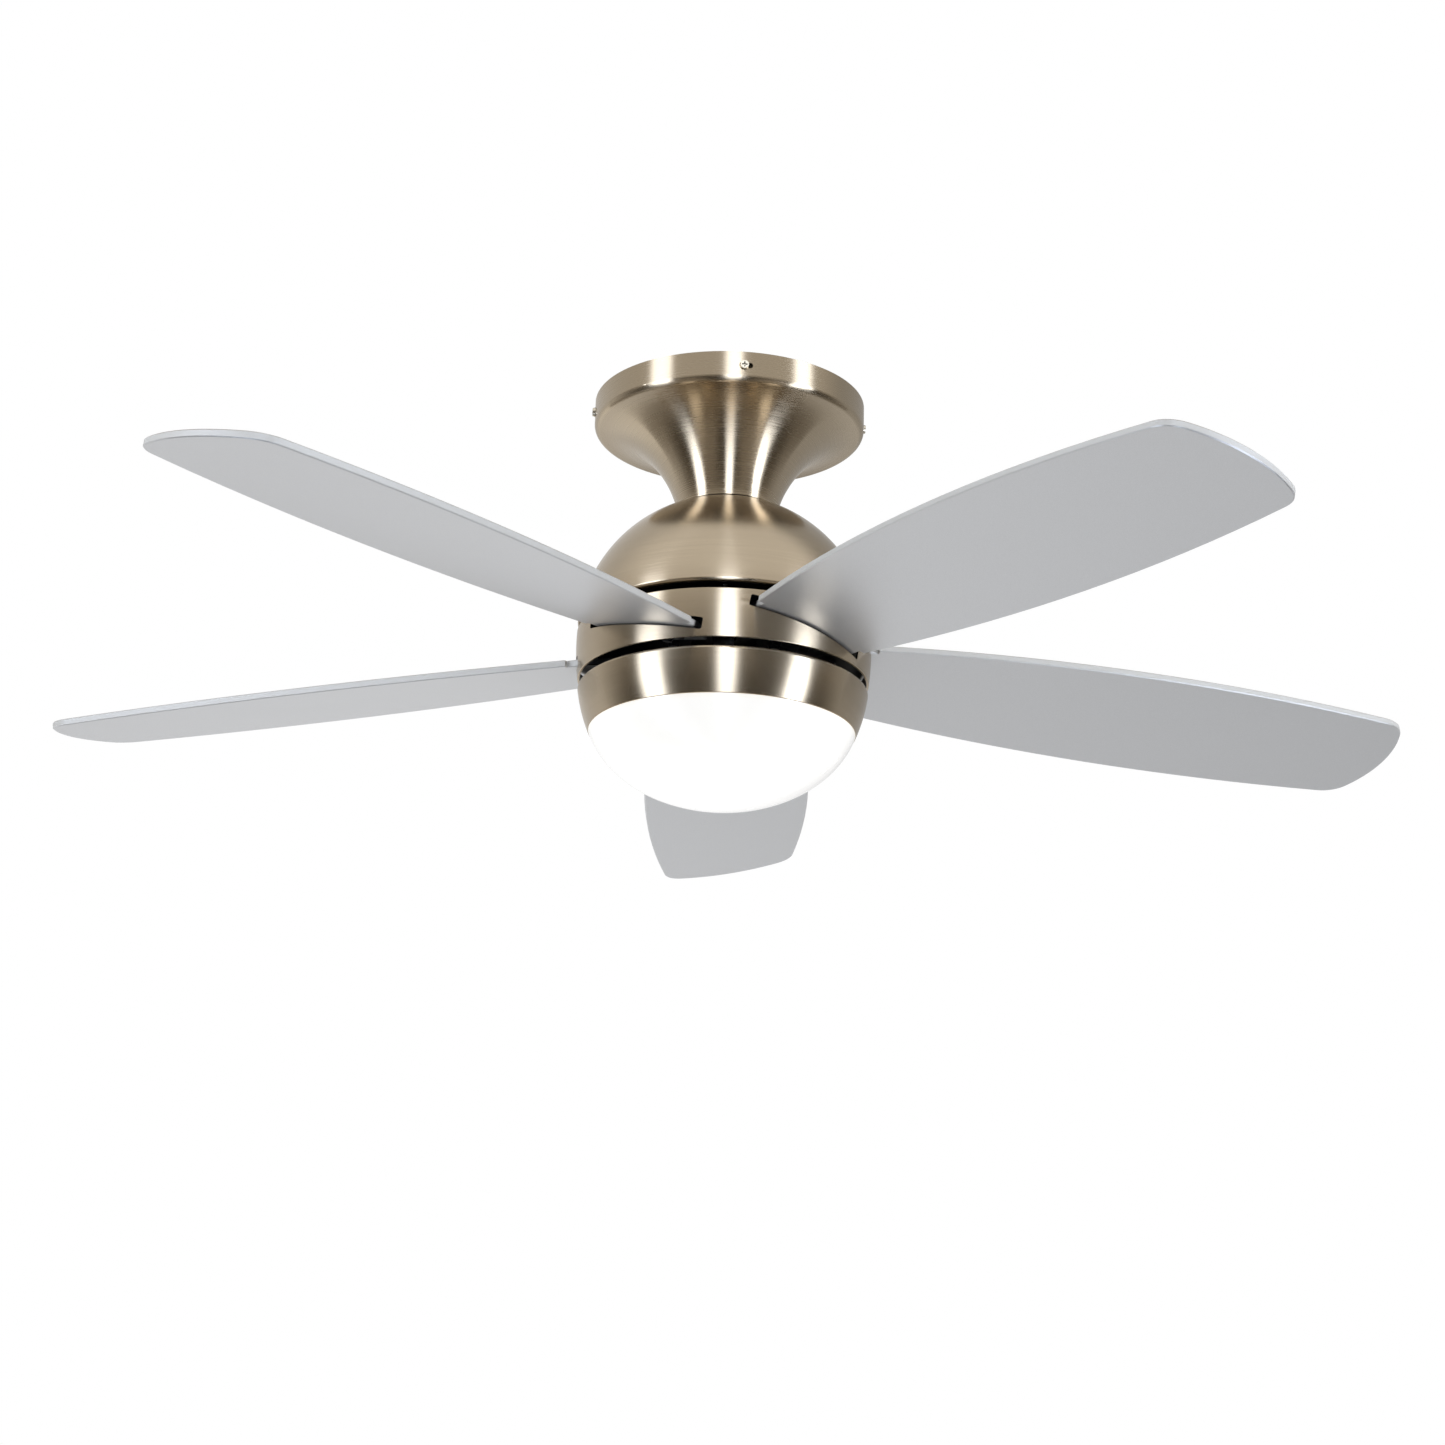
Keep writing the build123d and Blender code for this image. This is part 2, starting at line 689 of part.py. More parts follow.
with BuildPart() as blade_hub:
    with BuildSketch(Plane.XZ):
        with BuildLine():
            rim_radius = band_flange_radius + hub_rim_width
            step_radius = band_flange_radius - bolt_clearance
            step_z = hub_top_z - band_wall
            Polyline(
                (hub_hole_radius, hub_top_z),
                (step_radius, hub_top_z),
                (step_radius, step_z),
                (rim_radius, step_z),
                (rim_radius, step_z - hub_rim_thickness),
                (hub_radius, step_z - hub_rim_thickness),
                (hub_radius, hub_bottom_z),
                (hub_hole_radius, hub_bottom_z),
                close=True,
            )
        make_face()
    revolve(axis=Axis.Z)
    add(blade_pads.part)
    with BuildSketch(*[blade_plane(number, blade_thickness) for number in blade_numbers]):
        with Locations(*blade_screw_places):
            Circle(blade_screw_radius + seat_clearance)
    extrude(amount=blade_screw_bite, mode=Mode.SUBTRACT)
    with BuildSketch(Plane.XY.offset(hub_top_z)):
        with Locations(*ring_places(hub_screw_circle, hub_screw_count, 0)):
            Circle(hub_screw_radius + seat_clearance)
    extrude(amount=-hub_thickness, mode=Mode.SUBTRACT)
    with BuildSketch(Plane.XY.offset(step_z)):
        with Locations(*ring_places(band_screw_circle, band_screw_count, blade_turn + 180 / blade_count)):
            Circle(band_screw_radius + seat_clearance)
    extrude(amount=-hub_rim_thickness, mode=Mode.SUBTRACT)

hub_screws = screws(
    [Plane.XY.offset(hub_bottom_z)],
    ring_places(hub_screw_circle, hub_screw_count, 0),
    hub_screw_radius,
    hub_thickness + cover_wall,
    side=-1,
)

# Blade band: a barrel ring with a pitched slot for each blade and a flange on the hub's rim
with BuildPart() as blade_band:
    with BuildSketch(Plane.XZ):
        with BuildLine():
            middle_z = (band_top_z + band_bottom_z) / 2
            flange_z = band_top_z - band_wall
            top_edge = (band_top_radius, band_top_z)
            bottom_edge = (band_bottom_radius, band_bottom_z)
            inner_bottom = (band_bottom_radius - band_wall, band_bottom_z)
            inner_middle = (housing_radius - band_wall, middle_z)
            inner_top = (band_top_radius - band_wall, flange_z)
            ThreePointArc(top_edge, (housing_radius, middle_z), bottom_edge)
            Line(bottom_edge, inner_bottom)
            ThreePointArc(inner_bottom, inner_middle, inner_top)
            Polyline(inner_top, (band_flange_radius, flange_z), (band_flange_radius, band_top_z), top_edge)
        face = make_face()
        corners = [face.vertices().sort_by_distance(point)[0] for point in (top_edge, bottom_edge)]
        fillet(corners, edge_round)
    revolve(axis=Axis.Z)
    with BuildSketch(*[blade_section_plane(number) for number in blade_numbers]):
        with Locations((blade_root_offset, (blade_thickness + slot_clearance_above - slot_clearance_below) / 2)):
            RectangleRounded(2 * slot_half_length, slot_height, slot_corner)
    extrude(amount=blade_shoulder_at * 2, mode=Mode.SUBTRACT)
    with BuildSketch(Plane.XY.offset(band_top_z)):
        with Locations(*ring_places(band_screw_circle, band_screw_count, blade_turn + 180 / blade_count)):
            Circle(band_screw_radius + bolt_clearance)
    extrude(amount=-band_wall, mode=Mode.SUBTRACT)

band_screws = screws(
    [Plane.XY.offset(band_top_z)],
    ring_places(band_screw_circle, band_screw_count, blade_turn + 180 / blade_count),
    band_screw_radius,
    band_wall + hub_rim_thickness,
)


# Blades: flat boards, widest past the middle, with a crowned tip and a stepped root
def fan_blade(number):
    """One blade, seated under its pad on the hub."""
    tip_fall = blade_tip_crown - sqrt(blade_tip_crown**2 - blade_tip_half_width**2)
    corner_at = blade_reach - tip_fall
    with BuildPart() as blade:
        with BuildSketch(blade_plane(number, 0)):
            with BuildLine():
                for side in (1, -1):
                    shoulder = (blade_shoulder_at, blade_root_offset + side * blade_shoulder_half_width)
                    corner = (corner_at, side * blade_tip_half_width)
                    root_edge = blade_root_offset + side * blade_root_half_width
                    neck = (blade_shoulder_at, root_edge)
                    straight = (blade_shoulder_at - blade_root_straight, root_edge)
                    end = (blade_root_start, side * blade_root_end_half_width)
                    ThreePointArc(shoulder, (blade_wide_at, side * blade_half_width), corner)
                    Polyline(shoulder, neck, straight, end)
                ThreePointArc(
                    (corner_at, blade_tip_half_width),
                    (blade_reach, 0),
                    (corner_at, -blade_tip_half_width),
                )
                Line(
                    (blade_root_start, blade_root_end_half_width),
                    (blade_root_start, -blade_root_end_half_width),
                )
            face = make_face()
            fillet(face.vertices().sort_by(Axis.X)[-2:], blade_tip_round)
            fillet(face.vertices().sort_by(Axis.X)[:2], blade_root_round)
        extrude(amount=blade_thickness)
        faces = blade.faces().sort_by(SortBy.AREA)[-2:]
        chamfer(faces.edges(), blade_edge_bevel)
        with BuildSketch(blade_plane(number, 0)):
            with Locations(*blade_screw_places):
                Circle(blade_screw_radius + bolt_clearance)
        extrude(amount=blade_thickness, mode=Mode.SUBTRACT)
    return blade


blades = [fan_blade(number) for number in blade_numbers]
blade_screw_length = washer_thickness + blade_thickness + blade_screw_bite
blade_screws = screws(
    [blade_plane(number, -washer_thickness) for number in blade_numbers],
    blade_screw_places,
    blade_screw_radius,
    blade_screw_length,
    side=-1,
)

with BuildPart() as blade_washers:
    with BuildSketch(*[blade_plane(number, 0) for number in blade_numbers]):
        with Locations(*blade_screw_places):
            Circle(washer_radius)
            Circle(blade_screw_radius + bolt_clearance, mode=Mode.SUBTRACT)
    extrude(amount=-washer_thickness)

# Fitter plate: a disc on the shaft's shoulder that carries the light, held by a nut
with BuildPart() as fitter_plate:
    with BuildSketch(Plane.XY.offset(collar_top_z)):
        Circle(fitter_radius)
        Circle(stub_radius + seat_clearance, mode=Mode.SUBTRACT)
        with Locations(*ring_places(collar_screw_circle, collar_screw_count, screw_turn)):
            Circle(collar_screw_radius + seat_clearance, mode=Mode.SUBTRACT)
    extrude(amount=fitter_thickness)

with BuildPart() as shaft_nut:
    with BuildSketch(Plane.XY.offset(collar_top_z)):
        RegularPolygon(nut_width / 2, 6, major_radius=False)
        Circle(stub_radius + seat_clearance, mode=Mode.SUBTRACT)
    extrude(amount=-nut_height)

# Light collar: a drawn pan with a flat web, a barrel wall and a notched lip for the bowl's lugs
collar_middle_z = (collar_top_z + collar_bottom_z) / 2
with BuildPart() as light_collar:
    with BuildSketch(Plane.XZ):
        with BuildLine():
            top_edge = (collar_top_radius, collar_top_z)
            bottom_edge = (collar_bottom_radius, collar_bottom_z)
            inner_bottom = (collar_bottom_radius - collar_wall, lip_top_z)
            inner_middle = (collar_middle_radius - collar_wall, collar_middle_z)
            inner_top = (collar_top_radius - collar_wall, web_bottom_z)
            ThreePointArc(top_edge, (collar_middle_radius, collar_middle_z), bottom_edge)
            Polyline(bottom_edge, (lip_radius, collar_bottom_z), (lip_radius, lip_top_z), inner_bottom)
            ThreePointArc(inner_bottom, inner_middle, inner_top)
            Polyline(
                inner_top,
                (collar_hole_radius, web_bottom_z),
                (collar_hole_radius, collar_top_z),
                top_edge,
            )
        face = make_face()
        fillet(face.vertices().sort_by_distance(top_edge)[0], collar_round)
        fillet(face.vertices().sort_by_distance(bottom_edge)[0], edge_round)
    revolve(axis=Axis.Z)
    with BuildSketch(*turned_planes(lug_count, lug_turn + notch_turn, collar_bottom_z)):
        reach = bowl_neck_radius + lug_reach + bowl_clearance
        add(ring_sector(lip_radius - bowl_clearance, reach, lug_angle + 2 * notch_margin))
    extrude(amount=lip_thickness, mode=Mode.SUBTRACT)
    with BuildSketch(Plane.XY.offset(collar_top_z)):
        with Locations(*ring_places(collar_screw_circle, collar_screw_count, screw_turn)):
            Circle(collar_screw_radius + bolt_clearance)
        with Locations(*ring_places(spacer_circle, spacer_count, screw_turn)):
            Circle(led_screw_radius + bolt_clearance)
    extrude(amount=-collar_wall, mode=Mode.SUBTRACT)

collar_screws = screws(
    [Plane.XY.offset(web_bottom_z)],
    ring_places(collar_screw_circle, collar_screw_count, screw_turn),
    collar_screw_radius,
    collar_wall + fitter_thickness,
    side=-1,
)

# Light source: a driver box under the web, and a board of chips on three spacers
with BuildPart() as led_driver:
    with BuildSketch(Plane.XY.offset(web_bottom_z)):
        with Locations((0, driver_offset)):
            RectangleRounded(driver_length, driver_width, box_round)
    extrude(amount=-driver_height)
    chamfer(led_driver.faces().sort_by(Axis.Z)[0].edges(), box_round / 2)

spacer_places = ring_places(spacer_circle, spacer_count, screw_turn)
with BuildPart() as led_spacers:
    with BuildSketch(Plane.XY.offset(web_bottom_z)):
        with Locations(*spacer_places):
            Circle(spacer_radius)
            Circle(led_screw_radius + seat_clearance, mode=Mode.SUBTRACT)
    extrude(amount=-spacer_length)

with BuildPart() as led_board:
    with BuildSketch(Plane.XY.offset(board_top_z)):
        Circle(board_radius)
        with Locations(*spacer_places):
            Circle(led_screw_radius + bolt_clearance, mode=Mode.SUBTRACT)
    extrude(amount=-board_thickness)

with BuildPart() as led_chips:
    with BuildSketch(Plane.XY.offset(board_bottom_z)):
        for ring in range(1, chip_ring_count + 1):
            with PolarLocations(ring * chip_ring_spacing, ring * inner_chip_count):
                Rectangle(chip_size, chip_size)
    extrude(amount=-chip_height)

led_screws = screws(
    [Plane.XY.offset(board_bottom_z)],
    spacer_places,
    led_screw_radius,
    board_thickness + led_screw_bite,
    side=-1,
)

# Bowl: an opal shell of elliptical section, with a neck whose lugs hang on the collar's lip
with BuildPart() as light_bowl:
    with BuildSketch(Plane.XZ):
        with BuildLine():
            centre = (0, bowl_top_z + bowl_centre_rise)
            outer_depth = bowl_centre_rise + bowl_depth
            rim_turn = degrees(asin(bowl_centre_rise / outer_depth))
            outer_width = bowl_rim_radius / sqrt(1 - (bowl_centre_rise / outer_depth) ** 2)
            inner_depth = outer_depth - bowl_wall
            inner_width = outer_width - bowl_wall
            inner_turn = degrees(asin((bowl_centre_rise + bowl_wall) / inner_depth))
            outside = EllipticalCenterArc(centre, outer_width, outer_depth, 270, arc_size=quarter_turn - rim_turn)
            inside = EllipticalCenterArc(centre, inner_width, inner_depth, 270, arc_size=quarter_turn - inner_turn)
            neck_top_z = bowl_top_z + bowl_neck_height
            neck_inner_radius = bowl_neck_radius - bowl_wall
            Polyline(
                outside @ 1,
                (bowl_neck_radius, bowl_top_z),
                (bowl_neck_radius, neck_top_z),
                (neck_inner_radius, neck_top_z),
                (neck_inner_radius, bowl_top_z - bowl_wall),
                inside @ 1,
            )
            Line(outside @ 0, inside @ 0)
        make_face()
    revolve(axis=Axis.Z)
    with BuildSketch(*turned_planes(lug_count, lug_turn, lip_top_z + running_clearance)):
        add(ring_sector(bowl_neck_radius - bowl_wall / 2, bowl_neck_radius + lug_reach, lug_angle))
    extrude(amount=lug_height)

pieces = {
    "mounting_bracket": mounting_bracket,
    "canopy": canopy,
    "canopy_screws": canopy_screws,
    "remote_receiver": remote_receiver,
    "terminal_block": terminal_block,
    "upper_dome": upper_dome,
    "shaft_coupling": shaft_coupling,
    "coupling_screws": coupling_screws,
    "shaft_pin": shaft_pin,
    "motor_shaft": motor_shaft,
    "upper_bearing_inner_ring": upper_bearing_inner_ring,
    "upper_bearing_outer_ring": upper_bearing_outer_ring,
    "lower_bearing_inner_ring": lower_bearing_inner_ring,
    "lower_bearing_outer_ring": lower_bearing_outer_ring,
    "bearing_balls": bearing_balls,
    "stator_core": stator_core,
    "stator_coils": stator_coils,
    "motor_upper_cover": motor_upper_cover,
    "rotor_ring": rotor_ring,
    "motor_lower_cover": motor_lower_cover,
    "motor_screws": motor_screws,
    "blade_hub": blade_hub,
    "hub_screws": hub_screws,
    "blade_band": blade_band,
    "band_screws": band_screws,
    "blade_screws": blade_screws,
    "blade_washers": blade_washers,
    "fitter_plate": fitter_plate,
    "shaft_nut": shaft_nut,
    "light_collar": light_collar,
    "collar_screws": collar_screws,
    "led_driver": led_driver,
    "led_spacers": led_spacers,
    "led_board": led_board,
    "led_chips": led_chips,
    "led_screws": led_screws,
    "light_bowl": light_bowl,
}
for number in blade_numbers:
    pieces[f"blade_{number + 1}"] = blades[number]

os.makedirs("parts", exist_ok=True)
for name, piece in pieces.items():
    piece.part.label = name
    export_step(piece.part, f"parts/{name}.step")
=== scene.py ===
import json
import logging
import math
from abc import ABC, abstractmethod
from dataclasses import dataclass, field
from enum import Enum

import bmesh
import bpy
from mathutils import Matrix, Vector


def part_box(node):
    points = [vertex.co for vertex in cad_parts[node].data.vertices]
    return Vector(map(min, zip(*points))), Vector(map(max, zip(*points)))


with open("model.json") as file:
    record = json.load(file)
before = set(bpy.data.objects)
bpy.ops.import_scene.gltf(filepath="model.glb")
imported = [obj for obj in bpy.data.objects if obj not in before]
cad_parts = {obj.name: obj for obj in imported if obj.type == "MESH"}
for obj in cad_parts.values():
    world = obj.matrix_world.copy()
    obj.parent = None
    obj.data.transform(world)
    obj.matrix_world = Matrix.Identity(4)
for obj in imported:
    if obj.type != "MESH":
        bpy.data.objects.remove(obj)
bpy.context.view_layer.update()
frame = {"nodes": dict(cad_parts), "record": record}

log = logging.getLogger("ceiling_fan")

# Lengths are in metres and angles in degrees. A bearing is 0 at the front and grows to the right.
Colour = tuple[float, float, float]
Range = tuple[float, float]
Socket = bpy.types.NodeSocket
Owner = bpy.types.Material | bpy.types.World

WHITE: Colour = (1.0, 1.0, 1.0)
BLACK: Colour = (0.0, 0.0, 0.0)


class Slot(Enum):
    """Finishes named in the record, and two coarser brushings of the first."""

    NICKEL = "brushed_nickel"
    COARSE_NICKEL = "coarse_nickel"
    MEDIUM_NICKEL = "medium_nickel"
    SCREW = "nickel_screws"
    LACQUER = "blade_lacquer"
    ZINC = "zinc_steel"
    CASTING = "cast_aluminium"
    BLACK = "black_casting"
    OXIDE = "black_oxide"
    BEARING = "bearing_steel"
    LAMINATION = "lamination_steel"
    COPPER = "copper_wire"
    WHITE = "white_moulding"
    DARK = "dark_moulding"
    MASK = "board_mask"
    PHOSPHOR = "led_phosphor"
    OPAL = "opal_acrylic"


class Reading(Enum):
    """What a finish reads at each point of a piece, by Blender's name for it."""

    PLACE = "Object"
    FACING = "Normal"


def shade(colour: Colour, factor: float) -> Colour:
    """Lighten or darken a colour.

    Args:
        colour: Colour to change.
        factor: Number that each channel is multiplied by.

    Returns:
        The changed colour, with no channel over 1.
    """
    red, green, blue = (min(1.0, channel * factor) for channel in colour)
    return red, green, blue


def direction(bearing: float, rise: float) -> Vector:
    """Point from the fan towards a place in the studio.

    Args:
        bearing: Turn from the front.
        rise: Angle above the level.

    Returns:
        The direction, of length 1.
    """
    turn, tilt = math.radians(bearing), math.radians(rise)
    return Vector((math.sin(turn) * math.cos(tilt), -math.cos(turn) * math.cos(tilt), math.sin(tilt)))


def add_object(
    name: str, form: bmesh.types.BMesh, material: bpy.types.Material, place: Vector,
) -> bpy.types.Object:
    """Turn a form into an object of the studio, and free the form.

    Args:
        name: Name of the object and its mesh.
        form: Shape of the object.
        material: Material all over it.
        place: Where its origin goes.

    Returns:
        The object.
    """
    mesh = bpy.data.meshes.new(name)
    form.to_mesh(mesh)
    form.free()
    mesh.materials.append(material)
    made = bpy.data.objects.new(name, mesh)
    made.location = place
    bpy.context.scene.collection.objects.link(made)
    return made


class ShaderSheet:
    """Node tree of a material or of the world, with short calls for the nodes that the finishes share."""

    def __init__(self, owner: Owner) -> None:
        """Start an empty tree.

        Args:
            owner: Material or world that the tree belongs to.
        """
        owner.use_nodes = True
        self.owner: Owner = owner
        self.tree: bpy.types.NodeTree = owner.node_tree
        self.tree.nodes.clear()

    def node(self, kind: str, **settings: object) -> bpy.types.Node:
        """Add one node.

        Args:
            kind: Blender's name for the node type.
            **settings: Properties of the node to set.

        Returns:
            The new node.
        """
        made = self.tree.nodes.new(kind)
        for key, value in settings.items():
            setattr(made, key, value)
        return made

    def feed(self, source: Socket | float | Colour, target: Socket) -> None:
        """Link a socket to a target socket, or set a plain number or colour on it.

        Args:
            source: Socket to link from, or the number or colour to set.
            target: Socket that takes it.
        """
        if isinstance(source, bpy.types.NodeSocket):
            self.tree.links.new(source, target)
        elif isinstance(source, tuple):
            target.default_value = (*source, 1.0)
        else:
            target.default_value = source

    def math(self, operation: str, first: Socket | float, second: Socket | float = 0.0) -> Socket:
        """Add a maths node.

        Args:
            operation: Blender's name for the operation.
            first: First input.
            second: Second input, where the operation has one.

        Returns:
            The result's socket.
        """
        made = self.node("ShaderNodeMath", operation=operation)
        self.feed(first, made.inputs[0])
        self.feed(second, made.inputs[1])
        return made.outputs[0]

    def read(self, reading: Reading) -> Socket:
        """Return the place or the facing of each point, in the piece's own frame."""
        return self.node("ShaderNodeTexCoord").outputs[reading.value]

    def axes(self, reading: Reading) -> tuple[Socket, Socket, Socket]:
        """Split a reading along the piece's axes.

        Args:
            reading: What to split.

        Returns:
            Its X, Y and Z.
        """
        split = self.node("ShaderNodeSeparateXYZ")
        self.feed(self.read(reading), split.inputs[0])
        x, y, z = split.outputs
        return x, y, z

    def level_radius(self) -> Socket:
        """Measure how far each point is from the upright axis.

        Returns:
            The level distance.
        """
        x, y, _ = self.axes(Reading.PLACE)
        squared = self.math("ADD", self.math("MULTIPLY", x, x), self.math("MULTIPLY", y, y))
        return self.math("SQRT", squared)

    def noise(self, scale: float, detail: float = 2.0, roughness: float = 0.5) -> Socket:
        """Add a plain cloud noise.

        Args:
            scale: Features in each metre.
            detail: Number of finer layers.
            roughness: Weight of the finer layers.

        Returns:
            The noise's value, about 0.5 on average.
        """
        made = self.node("ShaderNodeTexNoise")
        self.feed(self.read(Reading.PLACE), made.inputs["Vector"])
        made.inputs["Scale"].default_value = scale
        made.inputs["Detail"].default_value = detail
        made.inputs["Roughness"].default_value = roughness
        return made.outputs["Fac"]

    def spread(self, value: Socket, low: float, high: float, start: float = 0.3, end: float = 0.7) -> Socket:
        """Map a value onto a range, and hold it at the range's ends.

        Args:
            value: Value to map, such as a noise, whose usual limits are the defaults.
            low: Result at start.
            high: Result at end.
            start: Value that gives low.
            end: Value that gives high.

        Returns:
            The mapped value.
        """
        made = self.node("ShaderNodeMapRange")
        self.feed(value, made.inputs["Value"])
        for key, number in (("From Min", start), ("From Max", end), ("To Min", low), ("To Max", high)):
            made.inputs[key].default_value = number
        return made.outputs["Result"]

    def blend(self, share: Socket, first: Socket | Colour, second: Socket | Colour) -> Socket:
        """Blend two colours.

        Args:
            share: Share of the second colour, from 0 to 1.
            first: Colour at 0.
            second: Colour at 1.

        Returns:
            The blended colour.
        """
        made = self.node("ShaderNodeMix", data_type="RGBA")
        for key, source in (("Factor", share), ("A", first), ("B", second)):
            self.feed(source, made.inputs[key])
        return made.outputs["Result"]

    def mottle(self, noise: Socket, colour: Colour, dark: float, light: float = 1.0) -> Socket:
        """Vary the tone of a colour with a noise.

        Args:
            noise: Noise to follow.
            colour: Colour to vary.
            dark: Factor on the colour where the noise is low.
            light: Factor on the colour where the noise is high.

        Returns:
            The varied colour.
        """
        return self.blend(self.spread(noise, 0.0, 1.0), shade(colour, dark), shade(colour, light))

    def bump(self, height: Socket, strength: float, distance: float) -> Socket:
        """Raise the surface by a height in the shading.

        Args:
            height: Height pattern.
            strength: Share of the effect.
            distance: Depth of the pattern.

        Returns:
            The bent normal.
        """
        made = self.node("ShaderNodeBump")
        made.inputs["Strength"].default_value = strength
        made.inputs["Distance"].default_value = distance
        self.feed(height, made.inputs["Height"])
        return made.outputs["Normal"]

    def close(self, shader: Socket, kind: str = "ShaderNodeOutputMaterial") -> Owner:
        """Link a shader to the tree's output.

        Args:
            shader: Shader to show.
            kind: Blender's name for the output's node type.

        Returns:
            The finished material or world.
        """
        self.feed(shader, self.node(kind).inputs["Surface"])
        return self.owner

    def surface(self, **values: object) -> bpy.types.Material:
        """Close the tree with a surface shader.

        Args:
            **values: Sockets or constants, keyed by the shader's socket names with _ for spaces.

        Returns:
            The finished material.
        """
        shader = self.node("ShaderNodeBsdfPrincipled")
        for key, value in values.items():
            self.feed(value, shader.inputs[key.replace("_", " ")])
        return self.close(shader.outputs["BSDF"])


class Finish(ABC):
    """Look of one surface."""

    @abstractmethod
    def build(self, name: str) -> bpy.types.Material:
        """Return the material, under this name."""


@dataclass(frozen=True)
class BrushedMetal(Finish):
    """Plated sheet, brushed round the fan's axis, with painted shade on its inward faces and in the seam
    under the neck.
    """

    colour: Colour
    neck_radius: float
    roughness: Range = (0.21, 0.25)
    anisotropy: float = 0.6
    quarter_turn: float = 0.25
    line_strength: float = 0.05
    line_depth: float = 0.00004
    line_pitch: float = 0.0006
    line_detail: float = 3.0
    streak_length: float = 0.09
    colour_swing: float = 0.045
    inside_shade_colour: Colour = (0.012, 0.011, 0.010)
    inward_tilt: Range = (-0.10, -0.05)

    def lines(self, sheet: ShaderSheet) -> Socket:
        """Make a noise that is drawn out round the axis.

        Args:
            sheet: Tree to add it to.

        Returns:
            The noise's value.
        """
        x, y, z = sheet.axes(Reading.PLACE)
        spans = ((sheet.level_radius(), self.line_pitch), (z, self.line_pitch), (x, self.streak_length))
        joined = sheet.node("ShaderNodeCombineXYZ")
        for (length, span), target in zip(spans, joined.inputs):
            sheet.feed(sheet.math("DIVIDE", length, span), target)
        made = sheet.node("ShaderNodeTexNoise", noise_dimensions="4D")
        sheet.feed(joined.outputs[0], made.inputs["Vector"])
        sheet.feed(sheet.math("DIVIDE", y, self.streak_length), made.inputs["W"])
        made.inputs["Scale"].default_value = 1.0
        made.inputs["Detail"].default_value = self.line_detail
        return made.outputs["Fac"]

    def painted_shade_mask(self, sheet: ShaderSheet) -> Socket:
        """Find where painted shade goes: on faces towards the axis, and in the seam under the neck.

        Args:
            sheet: Tree to add it to.

        Returns:
            1 where the shade is painted.
        """
        x, y, _ = sheet.axes(Reading.PLACE)
        across, along, _ = sheet.axes(Reading.FACING)
        radius = sheet.level_radius()
        outward = sheet.math("ADD", sheet.math("MULTIPLY", x, across), sheet.math("MULTIPLY", y, along))
        inside = sheet.spread(sheet.math("DIVIDE", outward, radius), 1.0, 0.0, *self.inward_tilt)
        return sheet.math("MAXIMUM", inside, sheet.math("LESS_THAN", radius, self.neck_radius))

    def build(self, name: str) -> bpy.types.Material:
        """Make the metal.

        Args:
            name: Name of the material.

        Returns:
            The material.
        """
        sheet = ShaderSheet(bpy.data.materials.new(name))
        lines = self.lines(sheet)
        plated = sheet.mottle(lines, self.colour, 1.0 - self.colour_swing, 1.0 + self.colour_swing)
        tangent = sheet.node("ShaderNodeTangent", direction_type="RADIAL", axis="Z")
        # Painted shade: the colour goes near-black on inward faces and in the neck's seam, standing in for
        # the shade there.
        return sheet.surface(
            Base_Color=sheet.blend(self.painted_shade_mask(sheet), plated, self.inside_shade_colour),
            Metallic=1.0,
            Roughness=sheet.spread(lines, *self.roughness),
            Anisotropic=self.anisotropy,
            Anisotropic_Rotation=self.quarter_turn,
            Tangent=tangent.outputs["Tangent"],
            Normal=sheet.bump(lines, self.line_strength, self.line_depth),
        )


@dataclass(frozen=True)
class SatinLacquer(Finish):
    """Silver-grey lacquer with a fine flake, warmer on top and matt at the edge, with painted shade making
    the root inside the band near-black.
    """

    colour: Colour
    root_radius: float
    root_fade: float = 0.002
    root_shade_colour: Colour = (0.006, 0.006, 0.006)
    top_colour: Colour = (0.36, 0.325, 0.28)
    face_tilt: Range = (0.5, 0.7)
    edge_colour: Colour = (0.60, 0.605, 0.602)
    edge_roughness: float = 0.55
    edge_metallic: float = 0.2
    flake_size: float = 0.0005
    flake_detail: float = 1.0
    flake_swing: float = 0.05
    flake_strength: float = 0.06
    flake_depth: float = 0.00004
    cloud_scale: float = 14.0
    cloud_detail: float = 3.0
    roughness: Range = (0.33, 0.35)
    metallic: float = 0.6

    def build(self, name: str) -> bpy.types.Material:
        """Make the lacquer.

        Args:
            name: Name of the material.

        Returns:
            The material.
        """
        sheet = ShaderSheet(bpy.data.materials.new(name))
        flake = sheet.noise(1.0 / self.flake_size, self.flake_detail)
        cloud = sheet.noise(self.cloud_scale, self.cloud_detail)
        _, _, upward = sheet.axes(Reading.FACING)
        tilt = sheet.math("ABSOLUTE", upward)
        root_limits = (self.root_radius - self.root_fade, self.root_radius)
        areas = (
            (sheet.spread(upward, 0.0, 1.0, *self.face_tilt), self.top_colour),
            (sheet.spread(tilt, 1.0, 0.0, *self.face_tilt), self.edge_colour),
            # Painted shade: the root inside the band is blended to near-black.
            (sheet.spread(sheet.level_radius(), 1.0, 0.0, *root_limits), self.root_shade_colour),
        )
        colour = sheet.mottle(flake, self.colour, 1.0 - self.flake_swing, 1.0 + self.flake_swing)
        for share, other in areas:
            colour = sheet.blend(share, colour, other)
        edge_roughness = sheet.spread(tilt, self.edge_roughness, 0.0, *self.face_tilt)
        return sheet.surface(
            Base_Color=colour,
            Metallic=sheet.spread(tilt, self.edge_metallic, self.metallic, *self.face_tilt),
            Roughness=sheet.math("MAXIMUM", sheet.spread(cloud, *self.roughness), edge_roughness),
            Normal=sheet.bump(flake, self.flake_strength, self.flake_depth),
        )


